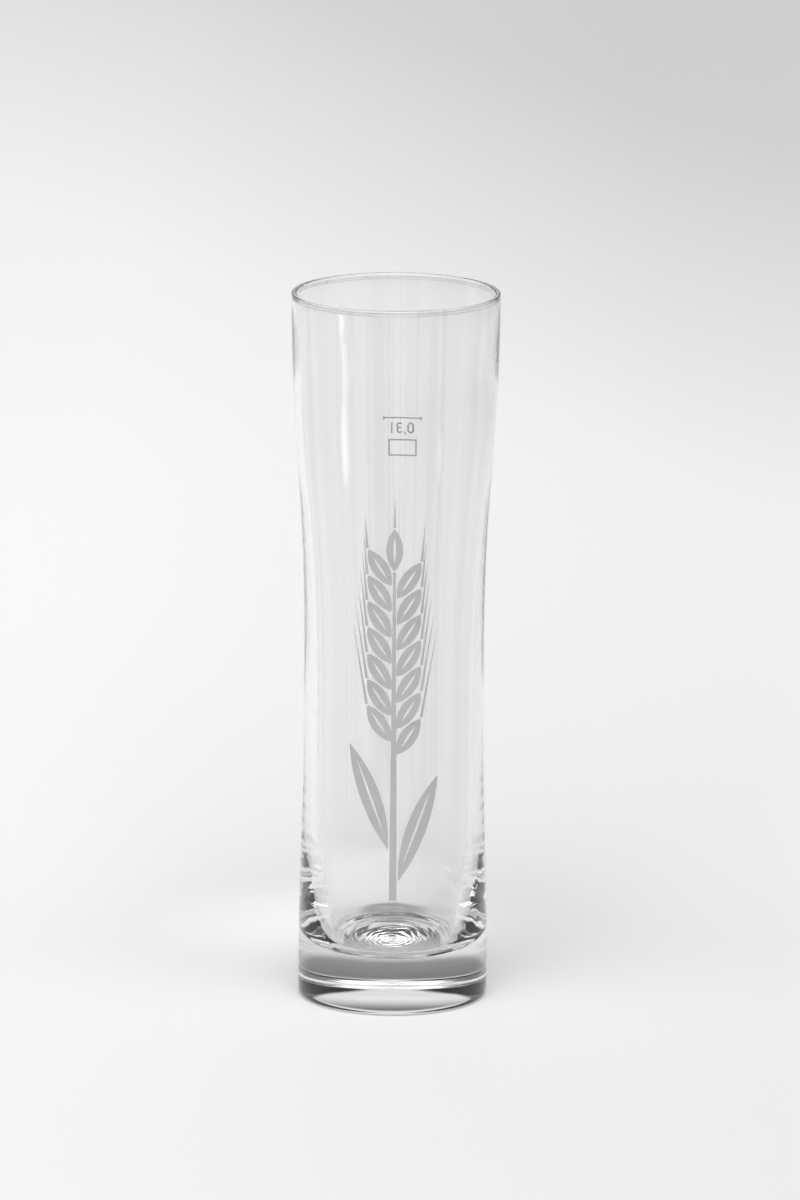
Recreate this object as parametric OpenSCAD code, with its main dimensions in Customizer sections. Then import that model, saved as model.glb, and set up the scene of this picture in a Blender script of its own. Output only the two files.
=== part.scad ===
// Stangenglas: a tall, slim beer glass with a gentle waist, a thick solid foot and a flared rim.
// One piece of pressed and blown glass carries prints of grey fired enamel: a barley ear at the
// front and a measure mark at the back. Millimetres, +Z up, origin at the middle of the standing
// face, the front of the glass towards -Y.

/* [Outside of the glass] */
// Height of the glass
glass_h = 222.5; // [205:0.5:250]
// Outer diameter at the rim
rim_d = 64.3; // [58:0.1:72]
// Outer diameter at the waist
waist_d = 55.7; // [51:0.1:60]
// Outer diameter of the foot
base_d = 59; // [53:0.1:66]
// Height at which the foot turns from bulging out to drawing in
foot_bend_z = 52; // [30:1:70]
// Height at which the straight waist starts
waist_low_z = 88.4; // [75:0.2:95]
// Height at which the straight waist ends
waist_high_z = 113.8; // [100:0.2:125]
// Height at which the flare turns from opening out to standing up
flare_bend_z = 166; // [140:1:185]
// Radius of the rounded heel
heel_r = 2.2; // [1:0.1:4]

/* [Walls and floor] */
// Height of the inner floor at the edge of its dish
floor_z = 16; // [10:0.1:22]
// Slope of the dished inner floor at its edge, in degrees
floor_slope = 13; // [4:0.5:16]
// Height of the round between the inner floor and the wall
floor_round = 4; // [2.6:0.2:10]
// How much the inside draws in on each side, from the waist down to the floor
foot_narrowing = 5; // [2:0.1:7]
// Wall thickness at the waist
waist_wall = 4.1; // [2.4:0.1:5]
// Wall thickness below the rim
upper_wall = 2.2; // [1.6:0.1:3]
// Thickness of the bead that fire-polishing leaves on the rim
rim_edge = 1.7; // [1.5:0.1:2]
// Wall thickness at the neck just below the bead
neck_wall = 1.3; // [1:0.1:1.4]
// Height over which the neck swells into the bead
neck_h = 1.3; // [1:0.1:2]
// Height over which the upper wall thins towards the rim
rim_thin_h = 30; // [5:1:40]
// Height at which the inner waist starts
inner_waist_low_z = 55; // [45:1:80]
// Height at which the inner waist ends
inner_waist_high_z = 90; // [84:1:110]
// Height at which the inner flare turns
inner_bend_z = 157; // [140:1:185]

/* [Underside] */
// Width of the flat ring that the glass stands on
stand_ring_w = 3.6; // [2:0.2:8]
// Depth of the hollow under the foot
punt_depth = 1.6; // [0.5:0.1:4]

/* [Enamel] */
// Thickness of the fired enamel
print_t = 0.1; // [0.05:0.01:0.3]
// Gap that keeps the enamel clear of the glass
print_clear = 0.1; // [0.05:0.01:0.3]
// Least gap between two printed shapes
print_gap = 0.4; // [0.3:0.05:0.8]

/* [Barley ear] */
// Height at which the stalk starts
stalk_low_z = 37; // [28:1:44]
// Width of the stalk at its foot
stalk_low_w = 2.4; // [1.4:0.1:3.4]
// Width of the stalk at its top
stalk_top_w = 0.9; // [0.5:0.1:1.2]
// Height at which the lowest kernel sits on the stalk
ear_z = 83; // [76:1:86]
// Number of kernels on each side
kernel_rows = 7; // [4:1:7]
// Distance between kernels on one side
kernel_pitch = 8.2; // [8:0.1:8.4]
// Length of a kernel
kernel_len = 13.4; // [11:0.2:14]
// Width of a kernel
kernel_w = 5.2; // [4:0.1:5.4]
// Lean of a kernel from the stalk, in degrees
kernel_lean = 33; // [32:1:38]
// Length of the crease in a kernel
crease_len = 8; // [4:0.2:9]
// Width of the crease in a kernel
crease_w = 0.7; // [0.4:0.05:1]
// Length of the lowest awn
awn_low_len = 28; // [20:1:36]
// Length of the topmost awn
awn_top_len = 10; // [8:1:14]
// Width of an awn where it starts
awn_w = 0.9; // [0.5:0.05:1.2]
// Lean of the lowest awn from upright, in degrees
awn_low_lean = 10; // [8:0.5:12]
// Lean of the highest side awn from upright, in degrees
awn_high_lean = 4; // [2:0.5:6]
// Height at which the right leaf starts
right_leaf_z = 43; // [36:1:46]
// Height at which the left leaf starts
left_leaf_z = 53; // [44:1:56]
// Length of a leaf
leaf_len = 35; // [28:1:38]
// Bow of a leaf's edge on the side of the stalk
leaf_inner_bow = 3.6; // [2:0.1:4]
// Bow of a leaf's outer edge
leaf_outer_bow = 2.6; // [1.4:0.1:3]
// Lean of a leaf from the stalk, in degrees
leaf_lean = 20; // [19:0.5:24]
// Length of the vein in a leaf
vein_len = 24; // [12:1:28]
// Width of the vein in a leaf
vein_w = 0.7; // [0.4:0.05:1]

/* [Measure mark] */
// Volume below the fill line, in millilitres
fill_ml = 300; // [250:5:350]
// Sideways distance of the mark from the middle of the back
mark_shift = 2.3; // [0:0.1:6]
// Length of the fill line
fill_line_len = 12.6; // [10:0.2:20]
// Width of the fill line
fill_line_w = 0.4; // [0.3:0.05:0.8]
// Height of the ticks at the ends of the fill line
tick_h = 1.1; // [0.8:0.1:2]
// Distance from the fill line down to the figures
figure_drop = 1.2; // [0.8:0.1:2]
// Height of the figures
figure_h = 3.4; // [2.8:0.1:4.4]
// Width of a figure's stroke
figure_stroke = 0.5; // [0.3:0.05:0.6]
// Length of the decimal comma
comma_len = 1.3; // [1:0.1:1.8]
// Lean of the decimal comma, in degrees
comma_lean = 20; // [10:1:30]
// Width of the nought
nought_w = 2; // [1.6:0.1:2.6]
// Space between figures
figure_space = 0.6; // [0.4:0.1:1]
// Space before the litre sign
unit_space = 1.3; // [0.8:0.1:2]
// Distance from the figures down to the frame
frame_drop = 1.9; // [1:0.1:3]
// Width of the frame
frame_w = 9.1; // [6:0.1:12]
// Height of the frame
frame_h = 5.2; // [3:0.1:8]
// Width of the frame's stroke
frame_stroke = 0.4; // [0.3:0.05:0.8]

/* [Hidden] */
$fn = 192;

// Segments in each curved stretch of the glass
CURVE_STEPS = 8;
// Segments in each round of the glass
ROUND_STEPS = 6;
// Turn of the glass wall that a print may cover
PRINT_SWEEP = 130;
// Cubic millimetres in a millilitre
MM3_PER_ML = 1000;

GLASS_COLOUR = [0.87, 0.89, 0.89, 0.45];
ENAMEL_COLOUR = [0.74, 0.74, 0.74];
FRONT = 0;
BACK = 180;

rim_r = rim_d / 2;
waist_r = waist_d / 2;
base_r = base_d / 2;
inner_waist_r = waist_r - waist_wall;
bead_r = rim_edge / 2;
bead_z = glass_h - bead_r;
neck_z = bead_z - neck_h;
thin_z = glass_h - rim_thin_h;
cavity_wall_z = floor_z + floor_round;
foot_curve = foot_narrowing / pow(inner_waist_low_z - floor_z, 2);
stand_outer_r = base_r - heel_r;
punt_r = stand_outer_r - stand_ring_w;

// Places between two values, ends included
function steps(from, to, count) = [for (i = [0 : count]) from + (to - from) * i / count];

// Radius on a curve that leaves and arrives upright and turns at the height "bend"
function s_radius(z, z0, r0, z1, r1, bend) =
    z < bend ? r0 + (r1 - r0) * pow(z - z0, 2) / ((bend - z0) * (z1 - z0))
             : r1 - (r1 - r0) * pow(z1 - z, 2) / ((z1 - bend) * (z1 - z0));

// Radius of the outside at a height above the heel
function outer_r(z) =
    z < waist_low_z ? s_radius(z, heel_r, base_r, waist_low_z, waist_r, foot_bend_z) :
    z < waist_high_z ? waist_r :
    s_radius(z, waist_high_z, waist_r, glass_h, rim_r, flare_bend_z);

// Soft rise from 0 at one height to 1 at another
function soft_share(z, from, to) =
    let (share = min(max((z - from) / (to - from), 0), 1)) share * share * (3 - 2 * share);

// Radius of the inside at a height above the rounded floor
function inner_r(z) =
    z < inner_waist_low_z ? inner_waist_r - foot_curve * pow(inner_waist_low_z - z, 2) :
    z < inner_waist_high_z ? inner_waist_r :
    s_radius(z, inner_waist_high_z, inner_waist_r, bead_z, outer_r(bead_z) - upper_wall, inner_bend_z)
        + (upper_wall - neck_wall) * soft_share(z, thin_z, neck_z)
        - (rim_edge - neck_wall) * soft_share(z, neck_z, bead_z);

// Points on a round, from one angle to another
function round_points(centre, radius, from, to) =
    [for (a = steps(from, to, ROUND_STEPS)) centre + radius * [cos(a), sin(a)]];

// Points on a soft bend from one point to another that touches both lines to the corner
function bend_points(start, corner, end) =
    [for (t = steps(0, 1, 2 * ROUND_STEPS))
        pow(1 - t, 2) * start + 2 * t * (1 - t) * corner + t * t * end];

outer_heights = concat(steps(heel_r, foot_bend_z, CURVE_STEPS),
    steps(foot_bend_z, waist_low_z, CURVE_STEPS), steps(waist_high_z, flare_bend_z, CURVE_STEPS),
    steps(flare_bend_z, bead_z, CURVE_STEPS));
inner_heights = concat(steps(cavity_wall_z, inner_waist_low_z, 2 * CURVE_STEPS),
    steps(inner_waist_high_z, inner_bend_z, CURVE_STEPS),
    steps(inner_bend_z, neck_z, 2 * CURVE_STEPS), steps(neck_z, bead_z, ROUND_STEPS));

punt_arc_r = (punt_r * punt_r + punt_depth * punt_depth) / (2 * punt_depth);
punt_arc_angle = asin(punt_r / punt_arc_r);
punt_points = round_points([0, punt_depth - punt_arc_r], punt_arc_r, 90, 90 - punt_arc_angle);
heel_points = round_points([stand_outer_r, heel_r], heel_r, -90, 0);
outer_points = [for (z = outer_heights) [outer_r(z), z]];
rim_points = round_points([outer_r(bead_z) - bead_r, bead_z], bead_r, 0, 180);
inner_points = [for (z = inner_heights) [inner_r(z), z]];
floor_rise = floor_round * tan(floor_slope);
floor_corner_r = inner_r(cavity_wall_z)
    - 2 * foot_curve * (inner_waist_low_z - cavity_wall_z) * (floor_round - floor_rise);
dish_r = floor_corner_r - floor_round;
dish_dip = dish_r * tan(floor_slope) / 2;
dish_points = [for (r = steps(0, dish_r, CURVE_STEPS))
    [r, floor_z - dish_dip * (1 - pow(r / dish_r, 2))]];
floor_points = bend_points([dish_r, floor_z], [floor_corner_r, floor_z + floor_rise],
    [inner_r(cavity_wall_z), cavity_wall_z]);
cavity_points = once(concat(dish_points, floor_points, inner_points));

function backwards(points) = [for (i = [len(points) - 1 : -1 : 0]) points[i]];

// Same point twice in a row is left out
function once(points) = [for (i = [0 : len(points) - 1])
    if (i == 0 || norm(points[i] - points[i - 1]) > 0.001) points[i]];

// Volume of the cavity up to each of its points
function slice_ml(a, b) =
    PI / 3 * (b[1] - a[1]) * (a[0] * a[0] + a[0] * b[0] + b[0] * b[0]) / MM3_PER_ML;
cavity_ml = [for (i = 0, ml = 0; i < len(cavity_points);
    ml = ml + (i + 1 < len(cavity_points) ? slice_ml(cavity_points[i], cavity_points[i + 1]) : 0),
    i = i + 1) ml];
fill_z = lookup(fill_ml, [for (i = [0 : len(cavity_points) - 1]) [cavity_ml[i], cavity_points[i][1]]]);
echo(fill_line_height_mm = fill_z, cavity_below_rim_ml = cavity_ml[len(cavity_ml) - 1]);

ear_top_z = ear_z + kernel_rows * kernel_pitch + print_gap;
bowl_overlap = 1.25 * figure_stroke;
three_w = (figure_h + bowl_overlap) / 2;
figure_top_z = fill_z - fill_line_w / 2 - figure_drop;
frame_top_z = figure_top_z - figure_h - frame_drop;

// Band of enamel thickness on the outside of the glass, centred on the front
module enamel_band() {
    wall = [for (p = once(outer_points)) p + [print_clear, 0]];
    rotate([0, 0, -90 - PRINT_SWEEP / 2])
        rotate_extrude(angle = PRINT_SWEEP)
            polygon(concat(wall, backwards([for (p = wall) p + [print_t, 0]])));
}

// Enamel in the shape of a flat drawing, fired on the side of the glass that "turn" names
module fired_print(turn) {
    color(ENAMEL_COLOUR)
        rotate([0, 0, turn])
            intersection() {
                enamel_band();
                rotate([90, 0, 0])
                    linear_extrude(height = rim_d + base_d)
                        children();
            }
}

// Oval with a point at each end, standing on its lower point, bowed by its own amount on each side
module pointed_oval(length, left_bow, right_bow) {
    left_r = (length * length / 4 + left_bow * left_bow) / (2 * left_bow);
    right_r = (length * length / 4 + right_bow * right_bow) / (2 * right_bow);
    intersection() {
        translate([left_r - left_bow, length / 2])
            circle(left_r);
        translate([right_bow - right_r, length / 2])
            circle(right_r);
    }
}

// Kernel with its crease, standing on its lower point
module kernel() {
    difference() {
        pointed_oval(kernel_len, kernel_w / 2, kernel_w / 2);
        translate([0, (kernel_len - crease_len) / 2])
            pointed_oval(crease_len, crease_w / 2, crease_w / 2);
    }
}

// Places each child on the right for even places up the stalk and on the left for odd ones
module along_ear(place) {
    side = place % 2 == 0 ? 1 : -1;
    translate([side * (stalk_top_w / 2 + print_gap), ear_z + place * kernel_pitch / 2])
        mirror([side < 0 ? 1 : 0, 0])
            children();
}

// Awn that starts just above a kernel's tip
module awn(length) {
    polygon([[-awn_w / 2, 0], [awn_w / 2, 0], [0, length]]);
}

// Leaf with its vein, standing on its lower point and leaning to the right
module leaf() {
    rotate(-leaf_lean)
        difference() {
            pointed_oval(leaf_len, leaf_inner_bow, leaf_outer_bow);
            translate([(leaf_outer_bow - leaf_inner_bow) / 2, (leaf_len - vein_len) / 2])
                pointed_oval(vein_len, vein_w / 2, vein_w / 2);
        }
}

// Upright ring with straight sides and round ends, centred on its middle
module long_ring(width, height, stroke) {
    difference() {
        long_round(width, height);
        long_round(width - 2 * stroke, height - 2 * stroke);
    }
}

// Upright oblong with round ends, centred on its middle
module long_round(width, height) {
    rise = (height - width) / 2;
    square([width, 2 * rise], center = true);
    for (end = [-1, 1])
        translate([0, end * rise])
            circle(width / 2);
}

// Figure three with two round bowls open to the left, its left edge at zero, centred in height
module three() {
    bowl_r = three_w / 2;
    difference() {
        for (end = [-1, 1])
            translate([bowl_r, end * (bowl_r - bowl_overlap / 2)])
                difference() {
                    circle(bowl_r);
                    circle(bowl_r - figure_stroke);
                }
        translate([-figure_stroke, -bowl_r])
            square([bowl_r, 2 * bowl_r]);
    }
}

// Decimal comma: a leaning drop that hangs below the base line, its point at zero
module comma() {
    translate([0, -comma_len / 2])
        rotate(-comma_lean)
            pointed_oval(comma_len, figure_stroke / 2, figure_stroke / 2);
}

// The glass itself
module glass_body() {
    color(GLASS_COLOUR)
        rotate_extrude()
            polygon(once(concat(punt_points, heel_points, outer_points, rim_points,
                backwards(cavity_points))));
}

// Stalk of the ear, tapered from its foot to the topmost kernel
module barley_stalk_print() {
    top_z = ear_top_z - print_gap;
    fired_print(FRONT)
        polygon([[-stalk_low_w / 2, stalk_low_z], [stalk_low_w / 2, stalk_low_z],
            [stalk_top_w / 2, top_z], [-stalk_top_w / 2, top_z]]);
}

// One leaf on each side of the stalk
module barley_leaves_print() {
    for (side = [1, -1])
        fired_print(FRONT)
            translate([side * (stalk_low_w / 2 + print_gap), side > 0 ? right_leaf_z : left_leaf_z])
                mirror([side < 0 ? 1 : 0, 0])
                    leaf();
}

// Kernels in turn on the right and the left of the stalk, and one on its top
module barley_kernels_print() {
    fired_print(FRONT) {
        for (place = [0 : 2 * kernel_rows - 1])
            along_ear(place)
                rotate(-kernel_lean)
                    kernel();
        translate([0, ear_top_z])
            kernel();
    }
}

// Awns above the kernels' tips, shorter and more upright towards the top
module barley_awns_print() {
    last = 2 * kernel_rows - 1;
    tip = kernel_len + print_gap;
    fired_print(FRONT) {
        for (place = [0 : last])
            along_ear(place)
                translate(tip * [sin(kernel_lean), cos(kernel_lean)])
                    rotate(-awn_low_lean + (awn_low_lean - awn_high_lean) * place / last)
                        awn(awn_low_len + (awn_top_len - awn_low_len) * place / (last + 1));
        translate([0, ear_top_z + tip])
            awn(awn_top_len);
    }
}

// Line that marks the stated volume, with a tick at each end
module fill_line_print() {
    fired_print(BACK)
        translate([-mark_shift, fill_z]) {
            square([fill_line_len, fill_line_w], center = true);
            for (end = [-1, 1])
                translate([end * (fill_line_len - fill_line_w) / 2, 0])
                    square([fill_line_w, tick_h], center = true);
        }
}

// Plain figures for the stated volume, below the fill line
module capacity_figures_print() {
    comma_x = nought_w + figure_space;
    three_x = comma_x + comma_len * sin(comma_lean) + figure_space;
    unit_x = three_x + three_w + unit_space;
    fired_print(BACK)
        translate([-mark_shift - (unit_x + figure_stroke) / 2, figure_top_z - figure_h / 2]) {
            translate([nought_w / 2, 0])
                long_ring(nought_w, figure_h, figure_stroke);
            translate([comma_x, -figure_h / 2])
                comma();
            translate([three_x, 0])
                three();
            translate([unit_x, -figure_h / 2])
                square([figure_stroke, figure_h]);
        }
}

// Plain empty frame below the figures
module mark_frame_print() {
    fired_print(BACK)
        translate([-mark_shift, frame_top_z - frame_h / 2])
            difference() {
                square([frame_w, frame_h], center = true);
                square([frame_w - 2 * frame_stroke, frame_h - 2 * frame_stroke], center = true);
            }
}

glass_body();
barley_stalk_print();
barley_leaves_print();
barley_kernels_print();
barley_awns_print();
fill_line_print();
capacity_figures_print();
mark_frame_print();
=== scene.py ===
"""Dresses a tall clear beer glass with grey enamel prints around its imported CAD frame.

Every length is in metres, in the frame's own axes: +Z up, the front of the glass towards -Y.
"""

import logging
import math
from dataclasses import dataclass
from enum import Enum

import bmesh
import bpy
from mathutils import Matrix, Vector, noise


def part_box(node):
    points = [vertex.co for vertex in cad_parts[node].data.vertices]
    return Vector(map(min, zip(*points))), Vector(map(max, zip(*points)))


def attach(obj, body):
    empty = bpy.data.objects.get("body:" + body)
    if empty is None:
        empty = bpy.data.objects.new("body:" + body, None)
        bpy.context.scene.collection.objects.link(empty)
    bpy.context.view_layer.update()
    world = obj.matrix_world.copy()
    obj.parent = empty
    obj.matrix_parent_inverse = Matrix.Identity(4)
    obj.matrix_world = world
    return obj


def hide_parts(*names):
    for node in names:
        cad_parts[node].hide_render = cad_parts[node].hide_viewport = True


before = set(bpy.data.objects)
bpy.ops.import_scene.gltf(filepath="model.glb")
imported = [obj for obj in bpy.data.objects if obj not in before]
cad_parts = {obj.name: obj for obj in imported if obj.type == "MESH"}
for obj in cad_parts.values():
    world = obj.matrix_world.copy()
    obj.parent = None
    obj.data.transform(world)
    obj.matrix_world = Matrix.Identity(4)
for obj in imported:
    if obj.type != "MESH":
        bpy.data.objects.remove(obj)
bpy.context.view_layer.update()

LOG = logging.getLogger("beer_glass")
BODY = "root"
MM = 0.001
CUT_TOLERANCE = 1e-7
CLOUD_DETAIL = 4.0
CLOUD_ROUGHNESS = 0.6
CLOUD_START = 0.42
CLOUD_END = 0.78
GRAIN_DETAIL = 2.0
LEVEL = (1.0, 1.0, 0.0)
WHITE = (1.0, 1.0, 1.0, 1.0)

Point = tuple[float, float]
Loop = list[Point]
Tone = tuple[float, float, float]
Feed = float | tuple[float, ...] | bpy.types.NodeSocket


class Side(Enum):
    """Side of the glass that a print is fired on, as a turn about the glass's axis."""

    FRONT = 0.0
    BACK = math.pi


class Slot(Enum):
    """Names of the material slots."""

    GLASS = "glass"
    ENAMEL = "enamel"


class Face(Enum):
    """Shapes of a lamp's face."""

    SQUARE = "RECTANGLE"
    ROUND = "ELLIPSE"


def spread(start: float, end: float, count: int) -> list[float]:
    """Gives values at even steps between two ends, both of them included."""
    return [start + (end - start) * i / count for i in range(count + 1)]


def smooth(low: float, high: float, value: float) -> float:
    """Gives a share that rises softly from 0 at one value to 1 at another."""
    share = min(max((value - low) / (high - low), 0.0), 1.0)
    return share * share * (3.0 - 2.0 * share)


def outward(turn: float) -> Vector:
    """Gives the level direction at an angle about the axis."""
    return Vector((math.cos(turn), math.sin(turn), 0.0))


def facing(place: Vector, target: Vector) -> Matrix:
    """Gives the pose of a lamp or camera that stands at one place and looks at another."""
    turn = (target - place).to_track_quat("-Z", "Y").to_matrix().to_4x4()
    return Matrix.Translation(place) @ turn


def put(name: str, data: bpy.types.ID) -> bpy.types.Object:
    """Puts a new object into the scene.

    Args:
        name: Its name.
        data: Its mesh, lamp or camera.

    Returns:
        The object.
    """
    item = bpy.data.objects.new(name, data)
    bpy.context.scene.collection.objects.link(item)
    return item


@dataclass(frozen=True)
class GlassForm:
    """Outline of the glass, with the height and the rim taken from the frame.

    The radii follow curves that leave and arrive upright, as the CAD part's do.
    """

    height: float
    rim_radius: float
    waist_radius: float = 27.85 * MM
    foot_radius: float = 29.5 * MM
    foot_bend: float = 52.0 * MM
    waist_low: float = 88.4 * MM
    waist_high: float = 113.8 * MM
    flare_bend: float = 166.0 * MM
    heel_round: float = 2.2 * MM
    floor_height: float = 16.0 * MM
    floor_round: float = 4.0 * MM
    floor_slope: float = math.radians(13.0)
    foot_narrowing: float = 5.0 * MM
    waist_wall: float = 4.1 * MM
    upper_wall: float = 2.2 * MM
    rim_edge: float = 1.7 * MM
    neck_wall: float = 1.3 * MM
    neck_rise: float = 1.3 * MM
    rim_thinning: float = 30.0 * MM
    inner_waist_low: float = 55.0 * MM
    inner_waist_high: float = 90.0 * MM
    inner_bend: float = 157.0 * MM
    stand_ring: float = 3.6 * MM
    punt_depth: float = 1.6 * MM

    @staticmethod
    def curve(z: float, low: Point, high: Point, bend: float) -> float:
        """Gives the radius on a curve that is upright at both ends.

        Args:
            z: Height on the curve.
            low: Radius and height of the lower end.
            high: Radius and height of the upper end.
            bend: Height at which the curve turns the other way.

        Returns:
            The radius at that height.
        """
        (low_r, low_z), (high_r, high_z) = low, high
        rise = (high_r - low_r) / (high_z - low_z)
        if z < bend:
            return low_r + rise * (z - low_z) ** 2 / (bend - low_z)
        return high_r - rise * (high_z - z) ** 2 / (high_z - bend)

    @property
    def wall_start(self) -> float:
        """Height at which the inner wall leaves the round of the floor."""
        return self.floor_height + self.floor_round

    @property
    def foot_curve(self) -> float:
        """Curvature with which the inside draws in towards the floor."""
        return self.foot_narrowing / (self.inner_waist_low - self.floor_height) ** 2

    @property
    def bead_height(self) -> float:
        """Height of the middle of the rim's bead."""
        return self.height - self.rim_edge / 2

    @property
    def neck_height(self) -> float:
        """Height at which the wall is thinnest, just below the rim's bead."""
        return self.bead_height - self.neck_rise

    def outer_radius(self, z: float) -> float:
        """Gives the radius of the outside at a height above the heel.

        Args:
            z: Height above the table.

        Returns:
            The outer radius.
        """
        if z < self.waist_low:
            foot = (self.foot_radius, self.heel_round)
            return self.curve(z, foot, (self.waist_radius, self.waist_low), self.foot_bend)
        if z < self.waist_high:
            return self.waist_radius
        waist = (self.waist_radius, self.waist_high)
        return self.curve(z, waist, (self.rim_radius, self.height), self.flare_bend)

    def inner_radius(self, z: float) -> float:
        """Gives the radius of the inside at a height above the round of the floor.

        Args:
            z: Height above the table.

        Returns:
            The inner radius.
        """
        waist_r = self.waist_radius - self.waist_wall
        if z < self.inner_waist_low:
            return waist_r - self.foot_curve * (self.inner_waist_low - z) ** 2
        if z < self.inner_waist_high:
            return waist_r
        top = (self.outer_radius(self.bead_height) - self.upper_wall, self.bead_height)
        thinning = smooth(self.height - self.rim_thinning, self.neck_height, z)
        swelling = smooth(self.neck_height, self.bead_height, z)
        wall = self.curve(z, (waist_r, self.inner_waist_high), top, self.inner_bend)
        thinned = wall + (self.upper_wall - self.neck_wall) * thinning
        return thinned - (self.rim_edge - self.neck_wall) * swelling

    def floor_bend(self, count: int) -> Loop:
        """Gives the soft bend from the inner wall to the dish of the floor.

        Args:
            count: Number of steps.

        Returns:
            The points from the wall to the floor.
        """
        start = self.inner_radius(self.wall_start)
        lean = 2 * self.foot_curve * (self.inner_waist_low - self.wall_start)
        rise = math.tan(self.floor_slope) * self.floor_round
        corner = start - lean * (self.floor_round - rise)
        points = []
        for t in spread(0.0, 1.0, count):
            r = (1 - t) ** 2 * start + 2 * t * (1 - t) * corner + t**2 * (corner - self.floor_round)
            lift = (1 - t) ** 2 * self.floor_round + 2 * t * (1 - t) * rise
            points.append((r, self.floor_height + lift))
        return points

    def floor_dish(self, edge: float, count: int) -> Loop:
        """Gives the shallow dish of the floor.

        Args:
            edge: Radius at which the dish starts.
            count: Number of steps.

        Returns:
            The points from the edge of the dish to its middle, without the first.
        """
        dip = math.tan(self.floor_slope) * edge / 2
        radii = spread(edge, 0.0, count)[1:]
        return [(r, self.floor_height - dip * (1 - (r / edge) ** 2)) for r in radii]


@dataclass(frozen=True)
class Waver:
    """A smooth uneven wave round the axis and along it."""

    across: float
    length: float
    shift: float = 0.0
    share: float = 1.0

    def at(self, around: Vector, along: float) -> float:
        """Gives the wave at a direction from the axis and a distance along it."""
        step = Vector((self.shift, 0.0, along / self.length))
        return self.share * noise.noise(around * self.across + step)


@dataclass
class GlassVessel:
    """The glass itself: a turned body with the small waves that pressing and blowing leave in it."""

    form: GlassForm
    segments: int = 256
    hollow_steps: int = 30
    ring_steps: int = 5
    heel_steps: int = 10
    outer_steps: int = 72
    rim_steps: int = 16
    neck_steps: int = 10
    upper_steps: int = 52
    lower_steps: int = 48
    bend_steps: int = 22
    dish_steps: int = 44
    ripple_height: float = 0.07 * MM
    ripple_length: float = 1.9 * MM
    ripple_wander: Waver = Waver(1.7, 6.0 * MM / 1.7, share=1.1 * MM)
    ripple_start: float = 5.0 * MM
    ripple_fade: float = 17.0 * MM
    ripple_end: float = 21.0 * MM
    wrinkle_height: float = 0.028 * MM
    wrinkle_top: float = 58.0 * MM
    wrinkle_full: float = 6.0 * MM
    wrinkle_edge: float = 0.3
    wrinkle_sway: tuple[tuple[float, int, float], ...] = ((5.0 * MM, 2, 0.0), (3.0 * MM, 5, 1.0))
    fold_width: float = 7.0 * MM
    folds: tuple[Waver, ...] = (Waver(1.0, 3.2 * MM), Waver(2.3, 1.7 * MM, 4.0, 0.45))
    stria_height: float = 0.012 * MM
    striae: tuple[Waver, ...] = (Waver(5.0, 90.0 * MM), Waver(16.0, 160.0 * MM, 2.0, 0.5))
    cord_turns: tuple[float, ...] = (math.radians(105.8), math.radians(133.6))
    cord_depth: float = 0.04 * MM
    cord_reach: float = math.radians(0.7)
    cord_steps: int = 4

    def underside(self) -> Loop:
        """Gives the outline under the foot.

        Returns:
            The points from the middle of the hollow to the heel.
        """
        form = self.form
        ring_outer = form.foot_radius - form.heel_round
        ring_inner = ring_outer - form.stand_ring
        depth = form.punt_depth
        arc = (ring_inner**2 + depth**2) / (2 * depth)
        hollow = [
            (r, math.sqrt(arc**2 - r**2) - arc + depth)
            for r in spread(0.0, ring_inner, self.hollow_steps)
        ]
        ring = [(r, 0.0) for r in spread(ring_inner, ring_outer, self.ring_steps)[1:]]
        heel = [
            (ring_outer + form.heel_round * math.sin(a), form.heel_round * (1 - math.cos(a)))
            for a in spread(0.0, math.pi / 2, self.heel_steps)[1:]
        ]
        return hollow + ring + heel

    def outside(self) -> Loop:
        """Gives the outline of the outer wall.

        Returns:
            The points from the heel to the rim's bead.
        """
        form = self.form
        heights = spread(form.heel_round, form.bead_height, self.outer_steps)[1:]
        return [(form.outer_radius(z), z) for z in heights]

    def rim(self) -> Loop:
        """Gives the outline of the rounded rim.

        Returns:
            The points from outside to inside.
        """
        form = self.form
        bead_r, bead_z = form.rim_edge / 2, form.bead_height
        middle = form.outer_radius(bead_z) - bead_r
        return [
            (middle + bead_r * math.cos(a), bead_z + bead_r * math.sin(a))
            for a in spread(0.0, math.pi, self.rim_steps)[1:]
        ]

    def inside(self) -> Loop:
        """Gives the outline of the cavity.

        Returns:
            The points from the rim's bead down to the middle of the floor.
        """
        form = self.form
        neck = spread(form.bead_height, form.neck_height, self.neck_steps)[1:]
        upper = spread(form.neck_height, self.wrinkle_top, self.upper_steps)[1:]
        lower = spread(self.wrinkle_top, form.wall_start, self.lower_steps)[1:]
        wall = [(form.inner_radius(z), z) for z in neck + upper + lower]
        corner = form.floor_bend(self.bend_steps)[1:]
        return wall + corner + form.floor_dish(corner[-1][0], self.dish_steps)

    def floor_ripple(self, r: float, turn: float) -> float:
        """Gives the height of the rings that the plunger leaves on the inner floor.

        Args:
            r: Distance from the axis.
            turn: Angle about the axis.

        Returns:
            The change in height.
        """
        wander = self.ripple_wander.at(outward(turn), r)
        fade = smooth(0.0, self.ripple_start, r) * (1 - smooth(self.ripple_fade, self.ripple_end, r))
        return self.ripple_height * fade * math.cos(2 * math.pi * (r + wander) / self.ripple_length)

    def wall_wrinkle(self, r: float, z: float, turn: float) -> float:
        """Gives the depth of the folds in the lower inner wall, where the glass chilled first.

        Args:
            r: Distance from the axis.
            z: Height above the table.
            turn: Angle about the axis.

        Returns:
            The change in radius.
        """
        fade = smooth(self.wrinkle_top, self.form.floor_height + self.wrinkle_full, z)
        lean = z
        for height, waves, phase in self.wrinkle_sway:
            lean += height * math.sin(waves * turn + phase)
        across = outward(turn) * r / self.fold_width
        return self.wrinkle_height * fade * sum(fold.at(across, lean) for fold in self.folds)

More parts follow.
